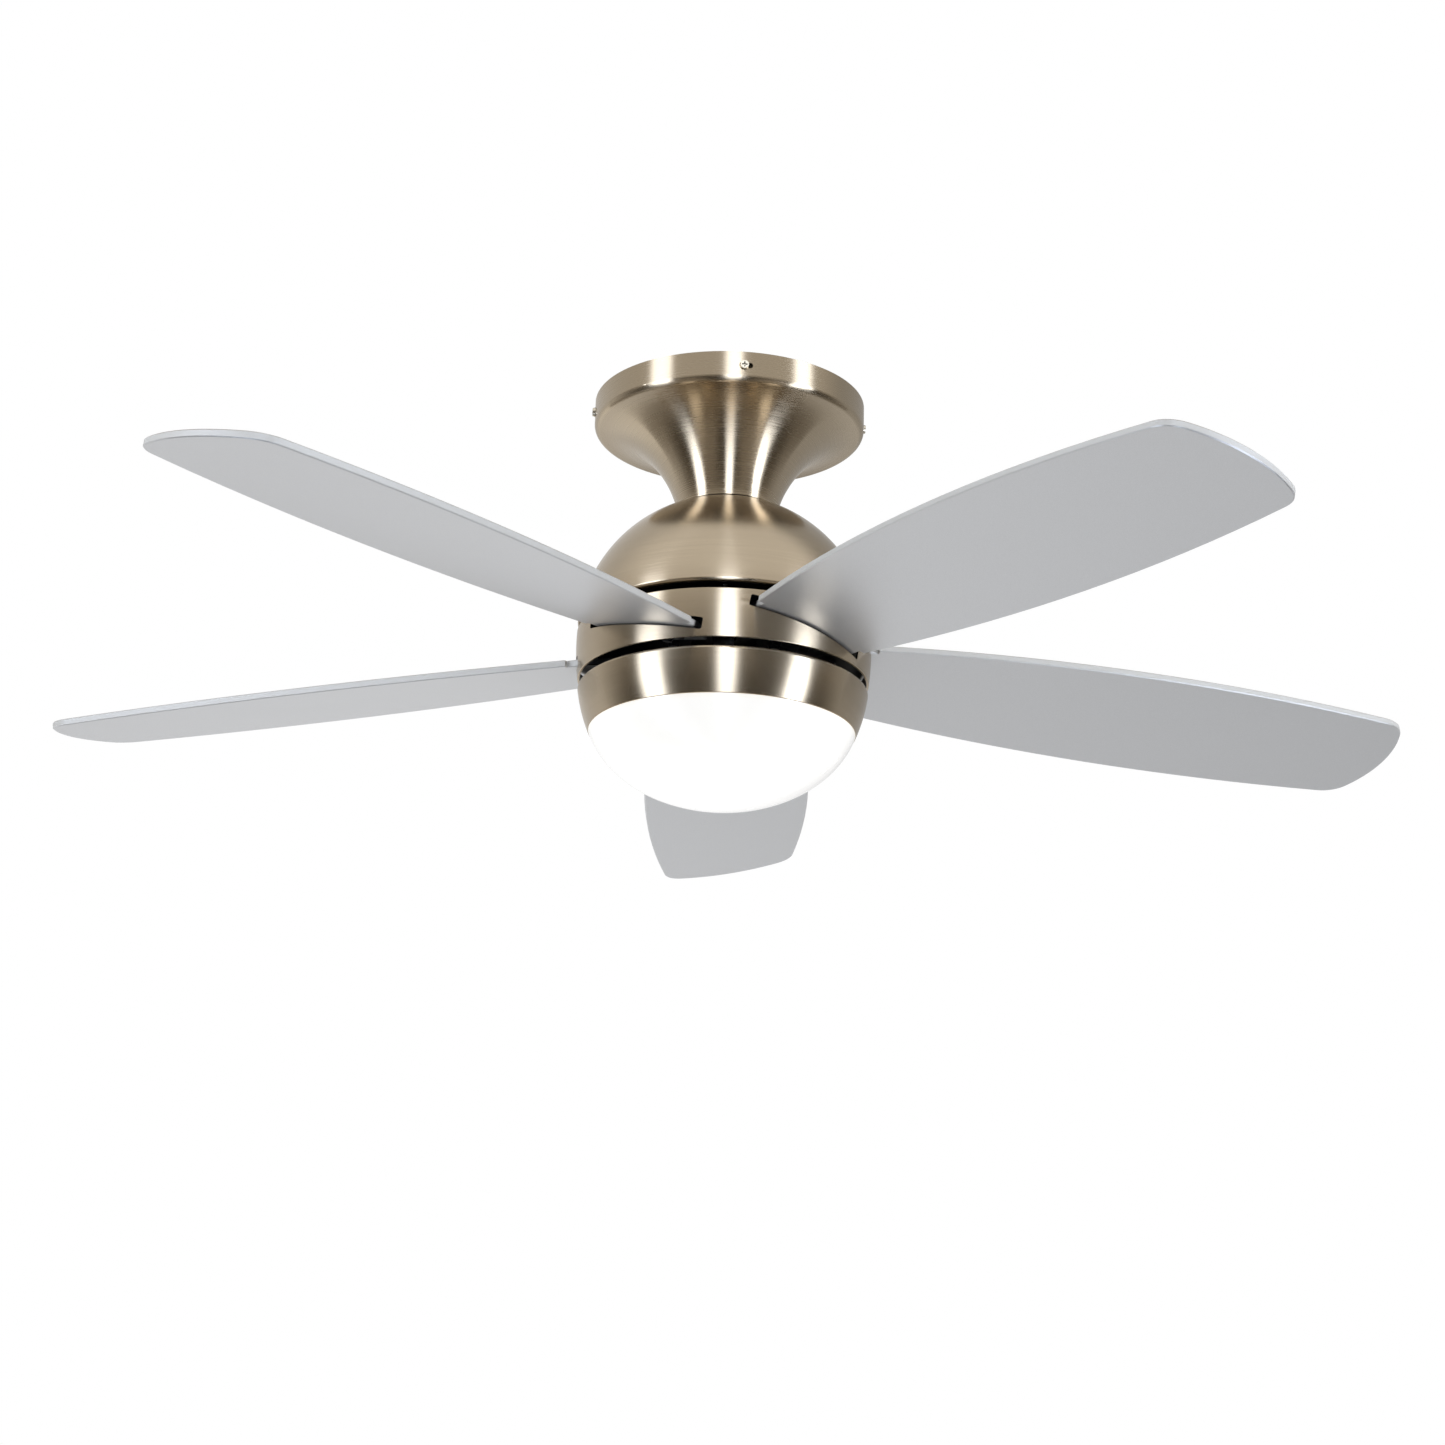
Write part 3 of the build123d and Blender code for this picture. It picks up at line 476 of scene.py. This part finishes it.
@dataclass(frozen=True)
class GrainedSurface(Finish):
    """Plain metal or moulding with an even grain and a cloudy tone, with painted shade darkening its hollows,
    from ambient occlusion, if it is given a depth.
    """

    colour: Colour
    metallic: float
    roughness: Range
    grain_size: float = 0.0012
    grain_detail: float = 3.0
    grain_depth: float = 0.00006
    grain_strength: float = 0.25
    cloud_scale: float = 35.0
    cloud_detail: float = 4.0
    cloud_roughness: float = 0.6
    colour_swing: float = 0.08
    coat: float = 0.0
    specular: float = 0.5
    hollow_shade_depth: float = 0.0
    hollow_shade_range: Range = (0.55, 0.95)
    hollow_shade_colour: Colour = (0.02, 0.015, 0.008)
    hollow_shade_samples: int = 8

    def build(self, name: str) -> bpy.types.Material:
        """Make the metal or moulding.

        Args:
            name: Name of the material.

        Returns:
            The material.
        """
        sheet = ShaderSheet(bpy.data.materials.new(name))
        grain = sheet.noise(1.0 / self.grain_size, self.grain_detail)
        cloud = sheet.noise(self.cloud_scale, self.cloud_detail, self.cloud_roughness)
        colour = sheet.mottle(cloud, self.colour, 1.0 - self.colour_swing, 1.0 + self.colour_swing)
        # Painted shade: ambient occlusion darkens the colour towards near-black in hollows and close gaps.
        if self.hollow_shade_depth > 0.0:
            occlusion_node = sheet.node("ShaderNodeAmbientOcclusion", samples=self.hollow_shade_samples)
            occlusion_node.inputs["Distance"].default_value = self.hollow_shade_depth
            unshaded = sheet.spread(occlusion_node.outputs["AO"], 0.0, 1.0, *self.hollow_shade_range)
            colour = sheet.blend(unshaded, self.hollow_shade_colour, colour)
        return sheet.surface(
            Base_Color=colour,
            Metallic=self.metallic,
            Roughness=sheet.spread(grain, *self.roughness),
            Coat_Weight=self.coat,
            Specular_IOR_Level=self.specular,
            Normal=sheet.bump(grain, self.grain_strength, self.grain_depth),
        )


@dataclass(frozen=True)
class StackedSteel(Finish):
    """Laminated steel, with the edges of its sheets as fine level lines."""

    colour: Colour
    sheet_thickness: float = 0.0005
    wave_length: float = 0.31  # of Blender's wave texture, at a scale of 1
    line_strength: float = 0.4
    line_depth: float = 0.0001
    cloud_scale: float = 40.0
    cloud_shade: float = 0.85
    roughness: Range = (0.42, 0.55)
    metallic: float = 0.8

    def build(self, name: str) -> bpy.types.Material:
        """Make the steel.

        Args:
            name: Name of the material.

        Returns:
            The material.
        """
        sheet = ShaderSheet(bpy.data.materials.new(name))
        wave = sheet.node("ShaderNodeTexWave", wave_type="BANDS", bands_direction="Z")
        sheet.feed(sheet.read(Reading.PLACE), wave.inputs["Vector"])
        wave.inputs["Scale"].default_value = self.wave_length / self.sheet_thickness
        cloud = sheet.noise(self.cloud_scale)
        return sheet.surface(
            Base_Color=sheet.mottle(cloud, self.colour, self.cloud_shade),
            Metallic=self.metallic,
            Roughness=sheet.spread(cloud, *self.roughness),
            Normal=sheet.bump(wave.outputs["Fac"], self.line_strength, self.line_depth),
        )


@dataclass(frozen=True)
class LitOpal(Finish):
    """Opal plastic lit from within, a little warmer where it meets the collar."""

    colour: Colour
    rim_colour: Colour
    rim_z: float
    rim_depth: float
    glow: float
    coat: float = 0.0
    cloud_scale: float = 60.0
    cloud_shade: float = 0.98
    roughness: Range = (0.22, 0.28)

    def build(self, name: str) -> bpy.types.Material:
        """Make the opal.

        Args:
            name: Name of the material.

        Returns:
            The material.
        """
        sheet = ShaderSheet(bpy.data.materials.new(name))
        cloud = sheet.noise(self.cloud_scale)
        _, _, z = sheet.axes(Reading.PLACE)
        below_rim = sheet.spread(z, 1.0, 0.0, self.rim_z - self.rim_depth, self.rim_z)
        return sheet.surface(
            Base_Color=sheet.mottle(cloud, self.colour, self.cloud_shade),
            Roughness=sheet.spread(cloud, *self.roughness),
            Emission_Color=sheet.blend(below_rim, self.rim_colour, self.colour),
            Emission_Strength=self.glow,
            Coat_Weight=self.coat,
        )


class Finishes:
    """All the finishes, made once and handed out by the record's slot."""

    def __init__(self, bowl_top: float, neck_radius: float, band_radius: float) -> None:
        """Build every material.

        Args:
            bowl_top: Height of the bowl's rim.
            neck_radius: Radius inside the canopy's neck, where the seam to the dome starts; the painted seam
                shade goes inside it.
            band_radius: Radius inside the band, where the blades' roots are hidden and given painted shade.
        """
        nickel: Colour = (0.46, 0.379, 0.272)
        plated = {"metallic": 1.0, "roughness": (0.30, 0.45)}
        moulded = {"metallic": 0.0, "roughness": (0.45, 0.60)}
        finishes: dict[Slot, Finish] = {
            Slot.NICKEL: BrushedMetal(nickel, neck_radius),
            Slot.COARSE_NICKEL: BrushedMetal(
                nickel, neck_radius, roughness=(0.22, 0.29), anisotropy=1.0, line_strength=0.20,
            ),
            Slot.MEDIUM_NICKEL: BrushedMetal(
                nickel, neck_radius, roughness=(0.268, 0.272), anisotropy=0.9, line_strength=0.02,
            ),
            # Painted shade in the hollows of the screws, by ambient occlusion.
            Slot.SCREW: GrainedSurface((0.62, 0.56, 0.45), 1.0, (0.18, 0.26), hollow_shade_depth=0.0012),
            Slot.LACQUER: SatinLacquer((0.56, 0.566, 0.578), band_radius),
            # Painted shade in the zinc parts' hollows and close gaps, by ambient occlusion.
            Slot.ZINC: GrainedSurface((0.62, 0.63, 0.65), hollow_shade_depth=0.006, **plated),
            # Painted shade: the cast aluminium covers are shown black-painted, and their near-black stands in
            # for the shade in the gaps.
            Slot.CASTING: GrainedSurface((0.010, 0.010, 0.011), 0.0, (0.50, 0.65), specular=0.12),
            Slot.OXIDE: GrainedSurface((0.010, 0.010, 0.011), 0.6, (0.40, 0.55), specular=0.2),
            Slot.BLACK: GrainedSurface((0.004, 0.004, 0.0045), 0.0, (0.60, 0.75), specular=0.06),
            Slot.BEARING: GrainedSurface((0.72, 0.72, 0.74), 1.0, (0.10, 0.16)),
            Slot.LAMINATION: StackedSteel((0.16, 0.16, 0.18)),
            Slot.COPPER: GrainedSurface((0.60, 0.24, 0.10), 0.9, (0.28, 0.40)),
            Slot.WHITE: GrainedSurface((0.74, 0.74, 0.72), **moulded),
            Slot.DARK: GrainedSurface((0.022, 0.022, 0.024), **moulded),
            Slot.MASK: GrainedSurface((0.80, 0.80, 0.79), 0.0, (0.25, 0.35), coat=0.3),
            Slot.PHOSPHOR: LitOpal(
                (1.0, 0.92, 0.66), (1.0, 0.85, 0.45), bowl_top, rim_depth=0.01, glow=1.2,
            ),
            Slot.OPAL: LitOpal(
                (0.94, 0.935, 0.92), (1.0, 0.90, 0.70), bowl_top, rim_depth=0.004, glow=0.36, coat=1.0,
            ),
        }
        self.materials: dict[str, bpy.types.Material] = {
            slot.value: finish.build(slot.value) for slot, finish in finishes.items()
        }

    def dress(self, node: str, finish: str) -> None:
        """Put a finish on a CAD node.

        Args:
            node: Name of the node.
            finish: Name of the finish.
        """
        mesh = frame["nodes"][node].data
        mesh.materials.clear()
        mesh.materials.append(self.materials[finish])


@dataclass
class SubAssembly:
    """Nodes of the frame that belong together, and the brushings that some of them take."""

    title: str
    nodes: tuple[str, ...]
    brushings: dict[str, Slot] = field(default_factory=dict)

    def build(self, finishes: Finishes) -> None:
        """Dress every node and report it.

        Args:
            finishes: Materials to dress them with.
        """
        slots = {part["node"]: part["material_slot"] for part in frame["record"]["subparts"]}
        slots.update({node: slot.value for node, slot in self.brushings.items()})
        for node in self.nodes:
            finishes.dress(node, slots[node])
            log.info("%s: %s in %s", self.title, node, slots[node])


@dataclass
class CeilingMount(SubAssembly):
    """Bracket, canopy and wiring boxes at the ceiling."""

    title: str = "ceiling mount"
    nodes: tuple[str, ...] = (
        "mounting_bracket", "canopy", "canopy_screws", "remote_receiver", "terminal_block",
    )
    brushings: dict[str, Slot] = field(default_factory=lambda: {"canopy": Slot.COARSE_NICKEL})
    edge_depth: float = 0.0001
    seam_margin: float = 0.0003

    def seam_radius(self) -> float:
        """Measure the canopy's neck at its lowest edge.

        Returns:
            The neck's radius there, less the seam's margin.
        """
        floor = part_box("canopy")[0].z
        corners = (vertex.co for vertex in frame["nodes"]["canopy"].data.vertices)
        edge = (math.hypot(corner.x, corner.y) for corner in corners if corner.z < floor + self.edge_depth)
        return max(edge) - self.seam_margin


@dataclass
class MotorHousing(SubAssembly):
    """Dome, shaft and the standing half of the motor."""

    title: str = "motor housing"
    nodes: tuple[str, ...] = (
        "upper_dome", "shaft_coupling", "coupling_screws", "shaft_pin", "motor_shaft",
        "upper_bearing_inner_ring", "lower_bearing_inner_ring", "stator_core", "stator_coils",
    )


@dataclass
class Rotor(SubAssembly):
    """Turning half of the motor, with the hub and band."""

    title: str = "rotor"
    nodes: tuple[str, ...] = (
        "upper_bearing_outer_ring", "lower_bearing_outer_ring", "bearing_balls", "motor_upper_cover",
        "rotor_ring", "motor_lower_cover", "motor_screws", "blade_hub", "hub_screws", "blade_band",
        "band_screws", "blade_screws", "blade_washers",
    )
    brushings: dict[str, Slot] = field(default_factory=lambda: {"blade_band": Slot.MEDIUM_NICKEL})
    band_wall: float = 0.0016

    def inner_radius(self) -> float:
        """Return the radius inside the band's wall."""
        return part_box("blade_band")[1].x - self.band_wall


@dataclass
class Blades(SubAssembly):
    """The five blades."""

    title: str = "blades"
    nodes: tuple[str, ...] = ("blade_1", "blade_2", "blade_3", "blade_4", "blade_5")


@dataclass
class Lamp(SubAssembly):
    """Light collar, its board and the bowl."""

    title: str = "lamp"
    nodes: tuple[str, ...] = (
        "fitter_plate", "shaft_nut", "light_collar", "collar_screws", "led_driver", "led_spacers",
        "led_board", "led_chips", "led_screws", "light_bowl",
    )
    brushings: dict[str, Slot] = field(default_factory=lambda: {"light_collar": Slot.MEDIUM_NICKEL})

    @staticmethod
    def bowl_top() -> float:
        """Return the height of the collar's foot, where the bowl comes out."""
        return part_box("light_collar")[0].z


@dataclass(frozen=True)
class SoftBox:
    """Broad lamp that lights the fan without showing in its metal."""

    name: str
    bearing: float
    rise: float
    width: float
    height: float
    distance: float
    power: float

    def build(self, aim: Vector) -> None:
        """Add the lamp.

        Args:
            aim: Point that it faces.
        """
        data = bpy.data.lights.new(self.name, "AREA")
        data.shape = "RECTANGLE"
        data.size, data.size_y = self.width, self.height
        data.energy = self.power
        lamp = bpy.data.objects.new(self.name, data)
        offset = self.distance * direction(self.bearing, self.rise)
        lamp.location = aim + offset
        lamp.rotation_euler = (-offset).to_track_quat("-Z", "Y").to_euler()
        lamp.visible_camera = False
        lamp.visible_glossy = False
        bpy.context.scene.collection.objects.link(lamp)


@dataclass(frozen=True)
class Strip:
    """Upright bright strip in the wall that the metal mirrors."""

    bearing: float
    half_width: float
    softness: float
    strength: float
    top_share: float = 0.0
    low_gain: float = 1.0
    top: Range = (26.0, 31.0)
    low: Range = (-12.0, 10.0)
    foot: Range = (-60.0, -18.0)
    foot_share: float = 0.25

    def light(self, sheet: ShaderSheet, bearing: Socket, rise: Socket) -> Socket:
        """Grade the strip across its width and over its height.

        Args:
            sheet: Tree to add it to.
            bearing: Bearing of each point of the wall.
            rise: Height of each point, as an angle.

        Returns:
            Strength of the strip's light.
        """
        top = sheet.spread(rise, 1.0, self.top_share, *self.top)
        low = sheet.spread(rise, self.low_gain, 1.0, *self.low)
        foot = sheet.spread(rise, self.foot_share, 1.0, *self.foot)
        height = sheet.math("MULTIPLY", sheet.math("MULTIPLY", top, low), foot)
        aside = sheet.math("ABSOLUTE", sheet.math("SUBTRACT", bearing, self.bearing))
        edges = (self.half_width - self.softness / 2, self.half_width + self.softness / 2)
        return sheet.math("MULTIPLY", sheet.spread(aside, self.strength, 0.0, *edges), height)


@dataclass(frozen=True)
class MirrorWall:
    """Dim curved wall all round the fan, with bright strips at the front, which only reflections see."""

    radius: float = 2.6
    low: float = -88.0
    high: float = 80.0
    columns: int = 96
    rows: int = 42
    dim_colour: Colour = (1.0, 0.88, 0.72)
    tones: tuple[tuple[float, float], ...] = (
        (-88.0, 0.03), (-50.0, 0.035), (-15.0, 0.09), (4.0, 0.20), (17.0, 0.68), (26.0, 0.70), (36.0, 1.0),
    )
    side_foot: Range = (-30.0, -8.0)
    left_fade: Range = (-115.0, -82.0)
    left_colour: Colour = (0.72, 0.72, 0.72)
    right_fade: Range = (85.0, 108.0)
    right_colour: Colour = (0.46, 0.46, 0.46)
    back_fade: Range = (158.0, 172.0)
    low_back_fade: Range = (100.0, 122.0)
    low_back_rise: Range = (-16.0, -6.0)
    back_tones: Range = (1.06, 0.50)
    back_width: float = 1.2
    strip_colour: Colour = (0.88, 0.98, 1.17)
    strips: tuple[Strip, ...] = (
        Strip(-58.4, 9.2, 5.0, 4.4, top_share=0.02, low_gain=1.3),
        Strip(2.8, 6.6, 5.0, 4.9, top_share=0.06),
        Strip(61.4, 7.9, 5.0, 4.4, low_gain=2.0),
    )

    def build(self, aim: Vector) -> None:
        """Add the wall.

        Args:
            aim: Centre that the wall curves round.
        """
        wall = add_object("mirror_wall", self.form(), self.glow(), aim)
        wall.visible_camera = False
        wall.visible_diffuse = False
        wall.visible_shadow = False
        wall.visible_transmission = False

    def form(self) -> bmesh.types.BMesh:
        """Shape the wall, ring above ring.

        Returns:
            The wall's form, round its own centre.
        """
        form = bmesh.new()
        rings: list[list[bmesh.types.BMVert]] = []
        for row in range(self.rows + 1):
            rise = self.low + (self.high - self.low) * row / self.rows
            bearings = (360.0 * column / self.columns for column in range(self.columns))
            rings.append([form.verts.new(self.radius * direction(turn, rise)) for turn in bearings])
        for lower, upper in zip(rings, rings[1:]):
            for column in range(self.columns):
                after = (column + 1) % self.columns
                form.faces.new((lower[column], lower[after], upper[after], upper[column]))
        return form

    def glow(self) -> bpy.types.Material:
        """Give the wall its own light: the plain wall's and the strips'.

        Returns:
            The wall's material.
        """
        sheet = ShaderSheet(bpy.data.materials.new("mirror_wall"))
        x, y, z = sheet.axes(Reading.PLACE)
        bearing = sheet.math("DEGREES", sheet.math("ARCTAN2", x, sheet.math("MULTIPLY", y, -1.0)))
        rise = sheet.math("DEGREES", sheet.math("ARCSINE", sheet.math("DIVIDE", z, self.radius)))
        strips: Socket | float = 0.0
        for strip in self.strips:
            strips = sheet.math("ADD", strips, strip.light(sheet, bearing, rise))
        lights = ((self.plain_colour(sheet, x, bearing, rise), 1.0), (self.strip_colour, strips))
        both = sheet.node("ShaderNodeAddShader")
        for (colour, strength), target in zip(lights, both.inputs):
            shine = sheet.node("ShaderNodeEmission")
            sheet.feed(colour, shine.inputs["Color"])
            sheet.feed(strength, shine.inputs["Strength"])
            sheet.feed(shine.outputs[0], target)
        return sheet.close(both.outputs[0])

    def plain_colour(self, sheet: ShaderSheet, x: Socket, bearing: Socket, rise: Socket) -> Socket:
        """Lay the wall's sides and back over its grading by height.

        Args:
            sheet: Tree to add it to.
            x: Place of each point of the wall, from left to right.
            bearing: Bearing of each point.
            rise: Height of each point, as an angle.

        Returns:
            The wall's colour without the strips.
        """
        foot = sheet.spread(rise, 0.0, 1.0, *self.side_foot)
        left = sheet.math("MULTIPLY", sheet.spread(bearing, 1.0, 0.0, *self.left_fade), foot)
        right = sheet.math("MULTIPLY", sheet.spread(bearing, 0.0, 1.0, *self.right_fade), foot)
        turned = sheet.math("ABSOLUTE", bearing)
        below = sheet.spread(rise, 1.0, 0.0, *self.low_back_rise)
        low_back = sheet.math("MULTIPLY", sheet.spread(turned, 0.0, 1.0, *self.low_back_fade), below)
        back = sheet.math("MAXIMUM", sheet.spread(turned, 0.0, 1.0, *self.back_fade), low_back)
        back_tone = sheet.spread(x, *self.back_tones, -self.back_width, self.back_width)
        colour = self.graded(sheet, rise)
        for share, other in ((left, self.left_colour), (right, self.right_colour), (back, back_tone)):
            colour = sheet.blend(share, colour, other)
        return colour

    def graded(self, sheet: ShaderSheet, rise: Socket) -> Socket:
        """Grade the wall from its foot to its top.

        Args:
            sheet: Tree to add it to.
            rise: Height of each point, as an angle.

        Returns:
            The wall's colour, warmer where it is dim.
        """
        ramp = sheet.node("ShaderNodeValToRGB")
        sheet.feed(sheet.spread(rise, 0.0, 1.0, self.low, self.high), ramp.inputs["Fac"])
        stops = ramp.color_ramp.elements
        for index, (height, tone) in enumerate(self.tones):
            place = (height - self.low) / (self.high - self.low)
            stop = stops[index] if index in (0, 1) else stops.new(place)
            stop.position = place
            red, green, blue = (tone * (1.0 + (channel - 1.0) * (1.0 - tone)) for channel in self.dim_colour)
            stop.color = (red, green, blue, 1.0)
        return ramp.outputs["Color"]


@dataclass
class Studio:
    """Camera, soft light, floor and background."""

    camera_place: tuple[float, float, float] = (0.0, -2.07903, -0.91807)
    camera_pitch: float = 17.898
    camera_roll: float = 1.418
    camera_yaw: float = -0.011
    camera_reach: float = 200.0
    lens: float = 75.67
    sensor: float = 36.0
    floor_z: float = -3.9
    floor_radius: float = 90.0
    floor_fade: Range = (11.0, 42.0)
    floor_sides: int = 96
    floor_colour: Colour = (0.86, 0.86, 0.86)
    floor_roughness: float = 0.8
    floor_cloud_scale: float = 3.0
    floor_cloud_shade: float = 0.99
    world_fill: float = 0.62
    aim: Vector = field(default_factory=lambda: Vector((0.0, 0.0, -0.18)))
    wall: MirrorWall = MirrorWall()
    lamps: tuple[SoftBox, ...] = (
        SoftBox("left_soft_box", -62.0, 4.0, 1.2, 2.2, 2.4, 16.0),
        SoftBox("right_soft_box", 62.0, 4.0, 1.2, 2.2, 2.4, 24.0),
        SoftBox("low_soft_box", 180.0, -50.0, 3.0, 3.0, 3.2, 40.0),
    )

    def build(self) -> None:
        """Add everything."""
        self.add_camera()
        self.add_world()
        self.add_floor()
        self.wall.build(self.aim)
        for lamp in self.lamps:
            lamp.build(self.aim)

    def add_camera(self) -> None:
        """Place the camera where the photo was taken from."""
        pitch, roll, yaw = (math.radians(a) for a in (self.camera_pitch, self.camera_roll, self.camera_yaw))
        ahead = Vector((-math.sin(yaw) * math.cos(pitch), math.cos(yaw) * math.cos(pitch), math.sin(pitch)))
        level = Vector((math.cos(yaw), math.sin(yaw), 0.0))
        upright = level.cross(ahead)
        right = level * math.cos(roll) + upright * math.sin(roll)
        up = upright * math.cos(roll) - level * math.sin(roll)
        data = bpy.data.cameras.new("camera")
        data.lens, data.sensor_width = self.lens, self.sensor
        data.clip_end = self.camera_reach
        camera = bpy.data.objects.new("camera", data)
        turn = Matrix((right, up, -ahead)).transposed().to_4x4()
        camera.matrix_world = Matrix.Translation(self.camera_place) @ turn
        bpy.context.scene.collection.objects.link(camera)
        bpy.context.scene.camera = camera

    def add_world(self) -> None:
        """Make the world white to look at and in reflections, and softer as light on the fan."""
        world = bpy.data.worlds.new("studio")
        bpy.context.scene.world = world
        sheet = ShaderSheet(world)
        path = sheet.node("ShaderNodeLightPath")
        seen = path.outputs["Is Camera Ray"]
        for kind in ("Is Glossy Ray", "Is Transmission Ray"):
            seen = sheet.math("MAXIMUM", seen, path.outputs[kind])
        mixed = sheet.node("ShaderNodeMixShader")
        share, unseen_light, seen_light = mixed.inputs
        sheet.feed(seen, share)
        for strength, target in ((self.world_fill, unseen_light), (1.0, seen_light)):
            background = sheet.node("ShaderNodeBackground")
            sheet.feed(WHITE, background.inputs["Color"])
            sheet.feed(strength, background.inputs["Strength"])
            sheet.feed(background.outputs[0], target)
        sheet.close(mixed.outputs[0], "ShaderNodeOutputWorld")

    def add_floor(self) -> None:
        """Add a plain pale floor, far below the fan, which turns white towards its edge."""
        form = bmesh.new()
        bmesh.ops.create_circle(form, cap_ends=True, segments=self.floor_sides, radius=self.floor_radius)
        sheet = ShaderSheet(bpy.data.materials.new("pale_floor"))
        far = sheet.spread(sheet.level_radius(), 0.0, 1.0, *self.floor_fade)
        pale = sheet.mottle(sheet.noise(self.floor_cloud_scale), self.floor_colour, self.floor_cloud_shade)
        material = sheet.surface(
            Base_Color=sheet.blend(far, pale, BLACK),
            Roughness=self.floor_roughness,
            Specular_IOR_Level=0.0,
            Emission_Color=WHITE,
            Emission_Strength=far,
        )
        floor = add_object("floor", form, material, Vector((0.0, 0.0, self.floor_z)))


def main() -> None:
    """Build the fan, sub-assembly by sub-assembly, and its studio."""
    logging.basicConfig(level=logging.INFO, format="%(name)s: %(message)s")
    bpy.context.scene.view_settings.view_transform = "Standard"
    mount, rotor, lamp = CeilingMount(), Rotor(), Lamp()
    finishes = Finishes(lamp.bowl_top(), mount.seam_radius(), rotor.inner_radius())
    for part in (mount, MotorHousing(), rotor, Blades(), lamp):
        part.build(finishes)
    Studio().build()


if __name__ == "__main__":
    main()
